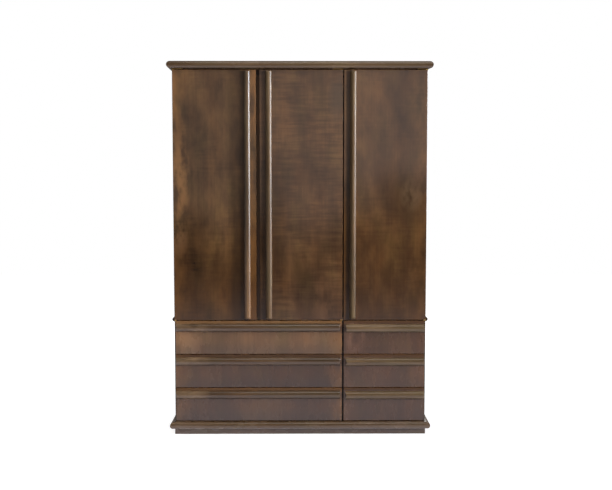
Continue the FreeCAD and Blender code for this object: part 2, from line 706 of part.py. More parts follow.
def drawer_bottom(label, column, z):
    reach = "(box_play + box_side - bottom_housing)"
    wide = board(label, f"{column['bay']} + {reach}", front_back, f"{z} + box_rise + bottom_rise",
                 f"{column['bay_end']} - {column['bay']} - 2 * {reach}",
                 "box_length - back_inset", "bottom_thickness")
    inner = "(box_play + box_side)"
    primitive(wide, "AdditiveBox", "FrontLip", f"{inner} - {reach}", "-bottom_housing", 0,
              Length=f"{column['bay_end']} - {column['bay']} - 2 * {inner}",
              Width="bottom_housing", Height="bottom_thickness")
    return keep(wide)


def drawer_set():
    runners = []
    for side, column in columns.items():
        for index, row in enumerate(rows):
            z = f"({first_drawer} + {index} * {drawer_pitch})"
            name = f"drawer_{side}_{row}"
            drawer_front(f"{name}_front", column, z)
            drawer_pull(f"{name}_pull", column, z)
            drawer_box(f"{name}_box", column, z)
            drawer_bottom(f"{name}_bottom", column, z)
            batten = board(f"Runner_{side}_{row}", column["bay"], carcass_front,
                           f"{z} + box_rise + runner_rise + runner_play",
                           "runner_thickness", "runner_length", "runner_height")
            twin = mirrored(f"Runner_{side}_{row}_twin", batten,
                            f"({column['bay']} + {column['bay_end']}) / 2")
            runners += [batten, twin]
    group("drawer_runners", runners)


plinth()
moulding_frame("base_moulding", "plinth_height")
moulding_frame("crown", crown_underside)
carcass()
mid_board()
clothes_rail()
shelving()
door_set()
drawer_set()
doc.recompute()


def check(thing):
    """Stops on a failed object and on a cut or pad that changes nothing."""
    if "Invalid" in thing.State or "Error" in thing.State:
        raise RuntimeError(f"{thing.Label} failed")
    base = getattr(thing, "BaseFeature", None)
    if base is not None and thing.isDerivedFrom("PartDesign::Feature"):
        change = thing.Shape.Volume - base.Shape.Volume
        removes = "Subtractive" in thing.TypeId or "Pocket" in thing.TypeId or "Fillet" in thing.TypeId
        if (change > -0.1) if removes else (change < 0.1):
            raise RuntimeError(f"{thing.Label} of {base.Label} changes nothing")


for thing in doc.Objects:
    check(thing)
os.makedirs("parts", exist_ok=True)
for thing in sub_parts:
    if thing.Shape.isNull() or not thing.Shape.isValid():
        raise RuntimeError(f"{thing.Label} has no valid shape")
    thing.Shape.exportStep(f"parts/{thing.Label}.step")
print(len(sub_parts), "nodes,", sum(len(thing.Shape.Solids) for thing in sub_parts), "solids")
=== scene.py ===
import json
import math
import random
import bmesh
import bpy
from mathutils import Matrix, Vector


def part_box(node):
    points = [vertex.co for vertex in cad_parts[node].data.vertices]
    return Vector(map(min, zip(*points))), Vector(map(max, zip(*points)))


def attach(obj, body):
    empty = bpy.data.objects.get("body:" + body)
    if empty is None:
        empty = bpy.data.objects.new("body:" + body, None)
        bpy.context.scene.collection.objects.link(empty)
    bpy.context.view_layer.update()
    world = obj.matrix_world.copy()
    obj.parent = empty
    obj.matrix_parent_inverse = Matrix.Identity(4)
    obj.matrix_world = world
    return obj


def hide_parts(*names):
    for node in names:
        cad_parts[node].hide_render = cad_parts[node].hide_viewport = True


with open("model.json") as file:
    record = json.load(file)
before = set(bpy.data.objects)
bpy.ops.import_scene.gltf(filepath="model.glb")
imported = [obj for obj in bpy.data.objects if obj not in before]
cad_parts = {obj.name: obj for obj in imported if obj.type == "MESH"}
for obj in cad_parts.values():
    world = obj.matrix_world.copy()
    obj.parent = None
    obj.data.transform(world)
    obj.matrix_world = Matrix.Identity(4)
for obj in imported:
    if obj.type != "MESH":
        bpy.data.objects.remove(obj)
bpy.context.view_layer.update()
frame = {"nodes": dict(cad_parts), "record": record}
nodes = frame["nodes"]
bodies = frame["record"]["behaviour"]["bodies"]
scene = bpy.context.scene
print("frame loaded:", len(nodes), "nodes")


# Helpers for node trees

def tone(red, green, blue):
    # a colour as a screen shows it, 0 to 255, as the linear colour that a shader takes
    def linear(value):
        value /= 255
        return value / 12.92 if value <= 0.04045 else ((value + 0.055) / 1.055) ** 2.4
    return (linear(red), linear(green), linear(blue), 1)


def stained(dark, middle, light):
    return {"dark": tone(*dark), "middle": tone(*middle), "light": tone(*light)}


def feed(tree, socket, value):
    if isinstance(value, bpy.types.NodeSocket):
        tree.links.new(value, socket)
    else:
        socket.default_value = value


def addNode(tree, kind, settings=None, inputs=None):
    node = tree.nodes.new(kind)
    for name, value in (settings or {}).items():
        setattr(node, name, value)
    for name, value in (inputs or {}).items():
        feed(tree, node.inputs[name], value)
    return node


def outcome(tree, kind, inputs):
    return addNode(tree, kind, None, inputs).outputs[0]


def calc(tree, operation, first, second=None, third=None, clamp=False):
    given = {index: value for index, value in enumerate((first, second, third)) if value is not None}
    return addNode(tree, "ShaderNodeMath", {"operation": operation, "use_clamp": clamp}, given).outputs[0]


def times(tree, first, second):
    return calc(tree, "MULTIPLY", first, second)


def mapRange(tree, value, fromLow, fromHigh, toLow=0.0, toHigh=1.0):
    return addNode(tree, "ShaderNodeMapRange", {"interpolation_type": "SMOOTHSTEP"},
                   {"Value": value, "From Min": fromLow, "From Max": fromHigh,
                    "To Min": toLow, "To Max": toHigh}).outputs[0]


def mixTones(tree, factor, first, second, blend="MIX"):
    mixed = addNode(tree, "ShaderNodeMix", {"data_type": "RGBA", "blend_type": blend})
    for socket, value in ((mixed.inputs[0], factor), (mixed.inputs[6], first), (mixed.inputs[7], second)):
        feed(tree, socket, value)
    return mixed.outputs[2]


def objectPlace(tree):
    return addNode(tree, "ShaderNodeTexCoord").outputs["Object"]


def split(tree, vector):
    return addNode(tree, "ShaderNodeSeparateXYZ", None, {0: vector}).outputs


def join(tree, x=0.0, y=0.0, z=0.0):
    return outcome(tree, "ShaderNodeCombineXYZ", {0: x, 1: y, 2: z})


def noiseAt(tree, place, scale, detail, roughness=0.5, distortion=0.0):
    return outcome(tree, "ShaderNodeTexNoise",
                   {"Vector": place, "Scale": scale, "Detail": detail, "Roughness": roughness,
                    "Distortion": distortion})


def newMaterial(name):
    material = bpy.data.materials.new(name)
    material.use_nodes = True
    material.node_tree.nodes.clear()
    return material, material.node_tree


def endMaterial(tree, inputs):
    surface = addNode(tree, "ShaderNodeBsdfPrincipled", None, inputs)
    addNode(tree, "ShaderNodeOutputMaterial", None, {"Surface": surface.outputs[0]})


def dress(piece, material):
    piece.data.materials.clear()
    piece.data.materials.append(material)
    return piece


def addObject(name, mesh):
    piece = bpy.data.objects.new(name, mesh)
    scene.collection.objects.link(piece)
    return piece


# Camera and studio

cameraSetup = {
    "place": (0.0, -5.447, 1.500),
    "pitchDown": 3.9,  # degrees
    "turnRight": 0.39,
    "lens": 51.2, "sensor": 36,
}


def makeCamera(setup):
    data = bpy.data.cameras.new("camera")
    data.lens = setup["lens"]
    data.sensor_width = setup["sensor"]
    camera = addObject("camera", data)
    camera.location = setup["place"]
    camera.rotation_euler = (math.radians(90 - setup["pitchDown"]), 0, -math.radians(setup["turnRight"]))
    scene.camera = camera


lampSetup = {
    # name: place, what it points at, width and height, watts, beam in degrees, what it lights, colour
    "sideSoftbox": ((4.8, -2.65, 2.3), (-0.9, -0.27, 1.50), (2.2, 2.4), 45, 52, "matt", (1.0, 0.98, 0.98)),
    "sideStrip": ((5.2, -0.85, 2.5), (0.0, -0.28, 1.60), (1.8, 2.4), 125, 60, "gloss", (0.80, 0.88, 1.0)),
    "frontSoftbox": ((3.5, -3.3, 2.5), (0.0, -0.27, 1.60), (3.6, 2.4), 4, 70, "matt", (1.0, 0.98, 0.96)),
    "overheadSoftbox": ((0.3, -2.0, 4.5), (0.0, -0.30, 1.20), (2.6, 1.2), 9, 90, "all", (1.0, 0.98, 0.94)),
    "leftFill": ((-4.4, 1.8, 2.0), (0.0, 0.2, 1.1), (1.6, 2.6), 60, 180, "all", (1.0, 0.97, 0.93)),
    "backFill": ((0.5, 4.6, 2.6), (0.0, 0.0, 1.2), (3.0, 2.0), 80, 180, "all", (1.0, 1.0, 1.0)),
}


def makeLamps(setup):
    for name, (place, target, size, watts, beam, lights, colour) in setup.items():
        data = bpy.data.lights.new(name, "AREA")
        data.shape = "RECTANGLE"
        data.size, data.size_y = size
        data.energy = watts
        data.spread = math.radians(beam)
        data.color = colour
        lamp = addObject(name, data)
        lamp.visible_glossy = lights != "matt"
        lamp.visible_diffuse = lights != "gloss"
        lamp.location = place
        lamp.rotation_euler = (Vector(target) - Vector(place)).to_track_quat("-Z", "Y").to_euler()


worldSetup = {
    # ranges are parts of a direction seen from the wardrobe: X sideways, Y away from the camera, Z up
    "ambient": 0.08,  # what matt surfaces get from all round
    "roomSide": 0.04,  # what polished ones see behind the camera
    "wallSide": 0.16,  # and behind the wardrobe
    "depthRange": (-0.6, 0.2),  # from the one to the other
    "leftSide": 0.60,  # what they see of the pale wall on the left
    "leftRange": (-0.35, -0.70),
    "frontLimit": -0.35,
    "upperLeft": 0.15, "upperRight": 0.35,  # what they see straight behind the camera and above it
    "upperSides": (-0.13, 0.12),
    "upperHeights": (-0.08, 0.0),
    "upperDepths": (-0.94, -0.98),
    "warmTone": (1.0, 0.86, 0.72, 1), "coolTone": (0.94, 0.99, 1.04, 1),  # low down and high up
    "toneRange": (-0.12, 0.08),
}


def makeWorld(setup):
    world = bpy.data.worlds.new("studio")
    scene.world = world
    world.use_nodes = True
    tree = world.node_tree
    tree.nodes.clear()
    rays = addNode(tree, "ShaderNodeLightPath")
    direction = addNode(tree, "ShaderNodeTexCoord").outputs["Generated"]
    sideways, depth, height = split(tree, direction)
    gloss = mapRange(tree, depth, *setup["depthRange"], setup["roomSide"], setup["wallSide"])
    leftwards = mapRange(tree, sideways, *setup["leftRange"], 0.0, setup["leftSide"])
    upper = times(tree, mapRange(tree, height, *setup["upperHeights"]),
                  mapRange(tree, sideways, *setup["upperSides"], setup["upperLeft"], setup["upperRight"]))
    upper = times(tree, upper, mapRange(tree, depth, *setup["upperDepths"]))
    inFront = calc(tree, "LESS_THAN", depth, setup["frontLimit"])
    gloss = calc(tree, "ADD", calc(tree, "MULTIPLY_ADD", leftwards, inFront, gloss), upper)
    plain = addNode(tree, "ShaderNodeMix", {"data_type": "FLOAT"},
                    {0: rays.outputs["Is Glossy Ray"], 2: setup["ambient"], 3: gloss}).outputs[0]
    seen = calc(tree, "MAXIMUM", rays.outputs["Is Camera Ray"], rays.outputs["Is Transmission Ray"])
    strength = addNode(tree, "ShaderNodeMix", {"data_type": "FLOAT"}, {0: seen, 2: plain, 3: 1.0}).outputs[0]
    glossTone = mixTones(tree, mapRange(tree, height, *setup["toneRange"]),
                         setup["warmTone"], setup["coolTone"])
    tint = mixTones(tree, rays.outputs["Is Glossy Ray"], (1, 1, 1, 1), glossTone)
    light = addNode(tree, "ShaderNodeBackground", None, {"Color": tint, "Strength": strength})
    output = addNode(tree, "ShaderNodeOutputWorld")
    tree.links.new(light.outputs[0], output.inputs[0])


floorSetup = {
    "left": -9.0, "right": 9.0, "front": -6.2, "back": 9.0,
    "colour": (0.62, 0.62, 0.63, 1),
    "nearGlow": 0.84, "farGlow": 1.0,  # what the camera sees of it near the wardrobe and farther off
    "glowRange": (0.9, 2.6),
    "sheenFar": 0.45, "sheenNear": 1.10,  # what polished faces see of it in front of the wardrobe
    "sheenTo": -0.8, "sheenEnd": (-0.1, 0.7),  # Y where it is full, and where it goes out
    "sheenColour": (0.98, 0.91, 1.00, 1),
}


def makeFloor(setup):
    corners = [(setup[x], setup[y], 0) for x, y in
               (("left", "front"), ("right", "front"), ("right", "back"), ("left", "back"))]
    mesh = bpy.data.meshes.new("floor")
    mesh.from_pydata(corners, [], [(0, 1, 2, 3)])
    floor = addObject("floor", mesh)
    material, tree = newMaterial("floorPaper")
    rays = addNode(tree, "ShaderNodeLightPath")
    place = objectPlace(tree)
    distance = addNode(tree, "ShaderNodeVectorMath", {"operation": "LENGTH"}, {0: place}).outputs["Value"]
    white = mapRange(tree, distance, *setup["glowRange"], setup["nearGlow"], setup["farGlow"])
    depth = split(tree, place)["Y"]
    sheen = mapRange(tree, depth, setup["front"], setup["sheenTo"], setup["sheenFar"], setup["sheenNear"])
    sheen = times(tree, sheen, mapRange(tree, depth, *setup["sheenEnd"], 1.0, 0.0))
    paper = addNode(tree, "ShaderNodeBsdfDiffuse", None, {"Color": setup["colour"]})
    glow = addNode(tree, "ShaderNodeEmission", None,
                   {"Color": (1, 1, 1, 1),
                    "Strength": times(tree, rays.outputs["Is Camera Ray"], white)})
    gloss = addNode(tree, "ShaderNodeEmission", None,
                    {"Color": setup["sheenColour"],
                     "Strength": times(tree, rays.outputs["Is Glossy Ray"],
                                       calc(tree, "MAXIMUM", sheen, 0.0))})
    lit = addNode(tree, "ShaderNodeAddShader", None, {0: paper.outputs[0], 1: glow.outputs[0]})
    both = addNode(tree, "ShaderNodeAddShader", None, {0: lit.outputs[0], 1: gloss.outputs[0]})
    addNode(tree, "ShaderNodeOutputMaterial", None, {"Surface": both.outputs[0]})
    dress(floor, material)


makeCamera(cameraSetup)
makeLamps(lampSetup)
makeWorld(worldSetup)
makeFloor(floorSetup)
scene.view_settings.view_transform = "Standard"
print("camera, lamps, world and floor made")


# Stained and lacquered wood. Grain runs along one axis of the row frame, and each piece is cut from
# another part of the log through its shift.

grainTurns = {"Z": (0, 0, 0), "X": (0, math.pi / 2, 0), "Y": (math.pi / 2, 0, 0)}

woodPatterns = {
    # name: scale across and along the grain, detail, roughness, distortion
    "clouds": (3.2, 1.7, 1, 0.5, 0.0),
    "mottle": (13, 6.0, 4, 0.56, 0.0),
    "streaks": (95, 2.4, 4, 0.62, 0.1),
    "fibres": (520, 14, 2, 0.6, 0.0),
    "bands": (8, 62, 1, 0.5, 0.3),
    "bandPlaces": (5, 3.4, 1, 0.5, 0.0),
    "tints": (9, 3.6, 2, 0.5, 0.2),
}

woodRules = {
    "rampStops": (0.14, 0.50, 0.88),  # shades that get the dark, the middle and the light tone
    "tintGain": 4.0,
    "bandGain": 6.0,
    "heightDrift": 0.5,  # how far the clouds push a change of tone up or down
    "patchBase": 0.7,
    # heights between which the painted shade goes from its strength above to its strength below
    "paintedShadeHeights": (1.9, 1.0),
    "stripDrift": 0.006, "stripBelow": 0.002, "stripAbove": 0.003,
    "stripMix": 0.65, "stripDull": 0.85,
    "streakRelief": 0.6, "bumpStrength": 0.6,
    "thinReach": 0.10, "thinGain": 3.0, "thinBase": 0.6,
    "wearDrift": 0.006, "wearReach": 0.0035,
    # edges seen in the gaps are painted near-black as painted shade, and the mid board's end grain darker
    "frontShadeReach": 0.0008, "darkEdgeDull": 0.9,
    "darkEdgeTone": tone(16, 11, 8),
}

darkStain = {
    **stained((58, 39, 23), (88, 61, 38), (122, 87, 54)),
    "warm": (1.05, 0.97, 0.88, 1),  # times the colour where the stain is reddish
    "olive": (0.94, 1.03, 0.92, 1),
    "clouds": 0.85,  # broad dark and light patches
    "mottle": 0.75,  # blotches a hand wide
    "streaks": 0.30,  # lines along the grain
    "fibres": 0.14,  # the finest lines
    "ripple": 0.20,  # short bands across the grain
    "rippleFrom": 0.10,
    "roughness": 0.27,
    "uneven": 0.12,  # how much the roughness varies
    "shine": 0.5,
    "coat": 0.20,
    "coatRoughness": 0.12,
    "relief": 0.00010,
    "worn": tone(154, 106, 58),  # where the stain is thin or rubbed through
    "wear": 0.45,
    "thinned": 0.55,  # how far the stain lightens towards the upright edges
    "frontShade": 0.0,  # painted shade on the front edge, where it is seen in the gaps
    "sideShadeAndEndGrain": 0.0,  # and on the side edges: painted shade in the gaps, darker end grain on the mid board's ends
    "sideReach": 0.0008,
    "stripHeight": 0.0,  # height of the lighter, duller strip below the top edge
    "topStrip": tone(134, 94, 56),  # the tone of that strip
    "paintedSheen": 0.0,  # how far a pale painted sheen covers the upper part
    "paintedSheenFrom": 1.05, "paintedSheenTo": 1.45,  # heights between which the painted sheen comes in
    "paintedSheenTone": tone(166, 156, 153),
    "lowerShade": 0.0,  # how far painted shade darkens a sheened piece lower down
    "lowerShadeFrom": 1.10, "lowerShadeTo": 0.80,
    "lowerShadeTint": (0.68, 0.63, 0.56, 1),
    "patches": (),  # where the stain took otherwise, and on the left rail a painted reflection: middle and half size in X and Z, strength, tone
    "patchy": 7.0,  # how far the mottle breaks them up
    "paintedShade": (),  # upright bands of painted shade beside the rails and on the outer sides: X of start, full tone and end, strength above and below
    "paintedShadeTint": (0.12, 0.10, 0.09, 1),
    "footShadeAndSheen": 0.0,  # how far the tone changes towards the lower edge: painted shade on drawer fronts, a painted bluish floor reflection on doors
    "footShadeReach": 0.10,
    "footShadeTint": (0.72, 0.80, 0.97, 1),
}


def woodMaterial(name, grain, shift, look, box=None):
    material, tree = newMaterial(name)
    rules = woodRules
    place = objectPlace(tree)
    turned = outcome(tree, "ShaderNodeMapping",
                     {"Vector": place, "Location": shift, "Rotation": grainTurns[grain]})

    def pattern(kind):
        across, along, detail, roughness, distortion = woodPatterns[kind]
        stretched = outcome(tree, "ShaderNodeMapping", {"Vector": turned, "Scale": (across, across, along)})
        return calc(tree, "SUBTRACT", noiseAt(tree, stretched, 1.0, detail, roughness, distortion), 0.5)

    clouds = pattern("clouds")
    mottle = pattern("mottle")
    streaks = pattern("streaks")
    fibres = pattern("fibres")
    tints = pattern("tints")
    bandMask = calc(tree, "MULTIPLY", calc(tree, "ADD", pattern("bandPlaces"), look["rippleFrom"]),
                    rules["bandGain"], clamp=True)
    ripple = times(tree, pattern("bands"), bandMask)
    shade = calc(tree, "MULTIPLY_ADD", clouds, look["clouds"], 0.5)
    for part, weight in ((mottle, look["mottle"]), (streaks, look["streaks"]),
                         (fibres, look["fibres"]), (ripple, look["ripple"])):
        shade = calc(tree, "MULTIPLY_ADD", part, weight, shade)
    ramp = addNode(tree, "ShaderNodeValToRGB", None, {"Fac": shade})
    stops = ramp.color_ramp.elements
    darkAt, middleAt, lightAt = rules["rampStops"]
    stops[0].position, stops[0].color = darkAt, look["dark"]
    stops[1].position, stops[1].color = lightAt, look["light"]
    stops.new(middleAt).color = look["middle"]
    colour = ramp.outputs[0]
    for gain, stain in ((rules["tintGain"], look["warm"]), (-rules["tintGain"], look["olive"])):
        colour = mixTones(tree, calc(tree, "MULTIPLY", tints, gain, clamp=True), colour, stain, "MULTIPLY")
    gloss = calc(tree, "MULTIPLY_ADD", mottle, look["uneven"], look["roughness"])
    shine = look["shine"]
    if box:
        colour, shine = wornAndShadedEdges(tree, place, colour, streaks, mottle, clouds, look, box)
    sideways, _, height = split(tree, place)
    for middleX, middleZ, halfX, halfZ, strength, patchTone in look["patches"]:
        aside = calc(tree, "DIVIDE", calc(tree, "SUBTRACT", sideways, middleX), halfX)
        above = calc(tree, "DIVIDE", calc(tree, "SUBTRACT", height, middleZ), halfZ)
        inside = calc(tree, "SUBTRACT", 1.0, calc(tree, "MULTIPLY_ADD", aside, aside,
                                                  times(tree, above, above)), clamp=True)
        broken = calc(tree, "MULTIPLY_ADD", mottle, look["patchy"], rules["patchBase"], clamp=True)
        amount = times(tree, times(tree, inside, broken), strength)
        colour = mixTones(tree, amount, colour, patchTone)
    # a pale painted sheen over the upper part
    if look["paintedSheen"]:
        drifting = calc(tree, "MULTIPLY_ADD", clouds, rules["heightDrift"], height)
        upper = mapRange(tree, drifting, look["paintedSheenFrom"], look["paintedSheenTo"])
        colour = mixTones(tree, times(tree, upper, look["paintedSheen"]), colour, look["paintedSheenTone"])
        # painted shade, darker lower down
        lowerShade = mapRange(tree, drifting, look["lowerShadeFrom"], look["lowerShadeTo"], 0.0, look["lowerShade"])
        colour = mixTones(tree, lowerShade, colour, look["lowerShadeTint"], "MULTIPLY")
    # painted shade in upright bands
    for start, full, end, above, below in look["paintedShade"]:
        beside = times(tree, mapRange(tree, sideways, start, full), calc(tree, "LESS_THAN", sideways, end))
        strength = mapRange(tree, height, *rules["paintedShadeHeights"], above, below)
        amount = times(tree, beside, strength)
        colour = mixTones(tree, amount, colour, look["paintedShadeTint"], "MULTIPLY")
    # painted shade and painted floor reflection towards the lower edge
    if look["footShadeAndSheen"]:
        foot = box[0][2]
        footShadeAndSheen = mapRange(tree, height, foot + look["footShadeReach"], foot, 0.0, look["footShadeAndSheen"])
        colour = mixTones(tree, footShadeAndSheen, colour, look["footShadeTint"], "MULTIPLY")
    # a strip below the top edge in its own tone, with less shine
    if look["stripHeight"]:
        edge = box[1][2] - look["stripHeight"]
        topStrip = mapRange(tree, calc(tree, "MULTIPLY_ADD", clouds, rules["stripDrift"], height),
                          edge - rules["stripBelow"], edge + rules["stripAbove"])
        colour = mixTones(tree, times(tree, topStrip, rules["stripMix"]), colour, look["topStrip"])
        shine = times(tree, shine, calc(tree, "MULTIPLY_ADD", topStrip, -rules["stripDull"], 1.0))
    relief = calc(tree, "MULTIPLY_ADD", streaks, rules["streakRelief"], fibres)
    bump = addNode(tree, "ShaderNodeBump", None,
                   {"Strength": rules["bumpStrength"], "Distance": look["relief"], "Height": relief})
    endMaterial(tree, {"Base Color": colour, "Roughness": gloss, "Normal": bump.outputs[0],
                       "Specular IOR Level": shine,
                       "Coat Weight": look["coat"], "Coat Roughness": look["coatRoughness"]})
    return material


def wornAndShadedEdges(tree, place, colour, streaks, mottle, clouds, look, box):
    # the stain is thinner towards the upright edges, and rubbed through along the very edges; edges seen in
    # the gaps get painted shade
    rules = woodRules
    low, high = box
    axes = split(tree, place)
    inward = []
    for axis, index in (("X", 0), ("Z", 2)):
        centre, half = (low[index] + high[index]) / 2, (high[index] - low[index]) / 2
        offset = calc(tree, "ABSOLUTE", calc(tree, "SUBTRACT", axes[axis], centre))
        inward.append(calc(tree, "SUBTRACT", half, offset))
    near = calc(tree, "SUBTRACT", 1.0, calc(tree, "DIVIDE", inward[0], rules["thinReach"]), clamp=True)
    broken = calc(tree, "MULTIPLY_ADD", mottle, rules["thinGain"],
                  calc(tree, "MULTIPLY_ADD", clouds, rules["thinGain"], rules["thinBase"]), clamp=True)
    thinned = times(tree, times(tree, near, broken), look["thinned"])
    colour = mixTones(tree, thinned, colour, look["worn"])
    reach = calc(tree, "MULTIPLY_ADD", streaks, rules["wearDrift"], rules["wearReach"])
    nearest = calc(tree, "MINIMUM", inward[0], inward[1])
    bare = calc(tree, "SUBTRACT", 1.0, calc(tree, "DIVIDE", nearest, reach), clamp=True)
    colour = mixTones(tree, times(tree, bare, look["wear"]), colour, look["worn"])
    # painted shade on the front and side edges seen in the gaps, and darker end grain on the mid board
    atFront = calc(tree, "LESS_THAN", axes["Y"], low[1] + rules["frontShadeReach"])
    atSide = calc(tree, "LESS_THAN", inward[0], look["sideReach"])
    darkEdged = calc(tree, "MAXIMUM", times(tree, atFront, look["frontShade"]), times(tree, atSide, look["sideShadeAndEndGrain"]))
    shine = times(tree, look["shine"], calc(tree, "MULTIPLY_ADD", darkEdged, -rules["darkEdgeDull"], 1.0))
    return mixTones(tree, darkEdged, colour, rules["darkEdgeTone"]), shine


metalSetup = {
    # name: tone, roughness, scale of the dull patches
    "satinBrass": (tone(205, 168, 98), 0.24, 260.0),
    "brightSteel": (tone(196, 196, 200), 0.22, 320.0),
}
metalWear = {"dullShare": 0.72, "roughen": 0.25, "detail": 3.0}


def plainMetal(name):
    # drawn metal, a little dulled in patches
    colour, roughness, scale = metalSetup[name]
    material, tree = newMaterial(name)
    place = objectPlace(tree)
    dull = noiseAt(tree, place, scale, metalWear["detail"])
    dulled = tuple(part * metalWear["dullShare"] for part in colour[:3]) + (1,)
    endMaterial(tree, {"Base Color": mixTones(tree, dull, dulled, colour), "Metallic": 1.0,
                       "Roughness": calc(tree, "MULTIPLY_ADD", dull, metalWear["roughen"], roughness)})
    return material


plasticSetup = {"tone": tone(86, 62, 44), "grain": 1400.0, "detail": 1.0, "relief": 0.0001,
                "strength": 0.3, "roughness": 0.42, "roughen": 0.15}


def mouldedPlastic(name, setup):
    material, tree = newMaterial(name)
    place = objectPlace(tree)
    grain = noiseAt(tree, place, setup["grain"], setup["detail"])
    bump = addNode(tree, "ShaderNodeBump", None,
                   {"Strength": setup["strength"], "Distance": setup["relief"], "Height": grain})
    endMaterial(tree, {"Base Color": setup["tone"], "Normal": bump.outputs[0],
                       "Roughness": calc(tree, "MULTIPLY_ADD", grain, setup["roughen"], setup["roughness"])})
    return material


brass = plainMetal("satinBrass")
steel = plainMetal("brightSteel")
print("metals made")


# Shapes made by rule, in geometry nodes

def newTree(name, sockets):
    tree = bpy.data.node_groups.new(name, "GeometryNodeTree")
    tree.interface.new_socket("Geometry", in_out="INPUT", socket_type="NodeSocketGeometry")
    for label, kind in sockets:
        tree.interface.new_socket(label, in_out="INPUT", socket_type="NodeSocket" + kind)
    tree.interface.new_socket("Geometry", in_out="OUTPUT", socket_type="NodeSocketGeometry")
    return tree, tree.nodes.new("NodeGroupInput").outputs


def endTree(tree, geometry, material):
    real = addNode(tree, "GeometryNodeRealizeInstances", None, {0: geometry})
    painted = addNode(tree, "GeometryNodeSetMaterial", None,
                      {"Geometry": real.outputs[0], "Material": material})
    addNode(tree, "NodeGroupOutput", None, {0: painted.outputs[0]})


def growMesh(name, tree, base, values):
    host = addObject(name + "Host", base)
    modifier = host.modifiers.new("rule", "NODES")
    modifier.node_group = tree
    for item in tree.interface.items_tree:
        if item.in_out == "INPUT" and item.name in values:
            modifier[item.identifier] = values[item.name]
    graph = bpy.context.evaluated_depsgraph_get()
    grown = host.evaluated_get(graph)
    mesh = bpy.data.meshes.new_from_object(grown, preserve_all_data_layers=True, depsgraph=graph)
    bpy.data.objects.remove(host)
    mesh.name = name
    return mesh


def gridRows(tree, rows, columns):
    # a grid whose vertices know their whole row and column numbers
    grid = outcome(tree, "GeometryNodeMeshGrid",
                   {"Size X": 1.0, "Size Y": 1.0, "Vertices X": rows, "Vertices Y": columns})
    place = split(tree, addNode(tree, "GeometryNodeInputPosition").outputs[0])
    numbers = []
    for axis, count in (("X", rows), ("Y", columns)):
        share = calc(tree, "ADD", place[axis], 0.5)
        numbers.append(calc(tree, "ROUND", times(tree, share, count - 1.0)))
    return grid, *numbers


weld = 0.000005  # metres between vertices that become one


def placeGrid(tree, grid, along, across, up):
    moved = outcome(tree, "GeometryNodeSetPosition",
                    {"Geometry": grid, "Position": join(tree, along, across, up)})
    return outcome(tree, "GeometryNodeMergeByDistance", {"Geometry": moved, "Distance": weld})


def pick(tree, condition, whenFalse, whenTrue):
    chosen = addNode(tree, "ShaderNodeMix", {"data_type": "FLOAT"})
    for index, value in ((0, condition), (2, whenFalse), (3, whenTrue)):
        feed(tree, chosen.inputs[index], value)
    return chosen.outputs[0]


railShape = {"frontSteps": 32, "endSteps": 8}


def makeRailTree(shape):
    # D section along X: flat back at the face, short flanks, one flat arc, ends rounded in plan
    tree, given = newTree("dSectionRail", [
        ("Length", "Float"), ("Width", "Float"), ("Depth", "Float"),
        ("Flank", "Float"), ("End Round", "Float"), ("Finish", "Material")])
    front, ends = shape["frontSteps"], shape["endSteps"]
    lastRow, wrap = 2 * ends + 3, front + 3
    grid, row, column = gridRows(tree, lastRow + 1, wrap + 1)
    column = calc(tree, "MODULO", column, float(wrap))
    half = times(tree, given["Width"], 0.5)
    rise = calc(tree, "SUBTRACT", given["Depth"], given["Flank"])
    squares = calc(tree, "ADD", times(tree, half, half), times(tree, rise, rise))
    radius = calc(tree, "DIVIDE", squares, times(tree, rise, 2.0))
    reach = calc(tree, "ARCSINE", calc(tree, "DIVIDE", half, radius))
    share = calc(tree, "DIVIDE", calc(tree, "SUBTRACT", column, 1.0), float(front), clamp=True)
    angle = times(tree, calc(tree, "MULTIPLY_ADD", share, 2.0, -1.0), reach)
    onArc = calc(tree, "SUBTRACT", radius, times(tree, radius, calc(tree, "COSINE", angle)))
    up = calc(tree, "MULTIPLY_ADD", radius, calc(tree, "SINE", angle), half)
    isBack = calc(tree, "MAXIMUM", calc(tree, "LESS_THAN", column, 0.5),
                  calc(tree, "GREATER_THAN", column, front + 1.5))
    across = pick(tree, isBack, onArc, given["Depth"])
    fromEnd = calc(tree, "MINIMUM", row, calc(tree, "SUBTRACT", float(lastRow), row))
    turned = calc(tree, "DIVIDE", calc(tree, "SUBTRACT", fromEnd, 1.0), float(ends), clamp=True)
    turn = times(tree, turned, math.pi / 2)
    inward, limit = [
        times(tree, given["End Round"], calc(tree, "SUBTRACT", 1.0, calc(tree, operation, turn)))
        for operation in ("COSINE", "SINE")]
    across = calc(tree, "MAXIMUM", across, limit)
    along = pick(tree, calc(tree, "GREATER_THAN", row, lastRow / 2), inward,
                 calc(tree, "SUBTRACT", given["Length"], inward))
    isPole = calc(tree, "LESS_THAN", fromEnd, 0.5)
    endMiddle = times(tree, calc(tree, "ADD", given["Depth"], given["End Round"]), 0.5)
    across = pick(tree, isPole, across, endMiddle)
    up = pick(tree, isPole, up, half)
    endTree(tree, placeGrid(tree, grid, along, across, up), given["Finish"])
    return tree


mouldingShape = {"noseSteps": 24}


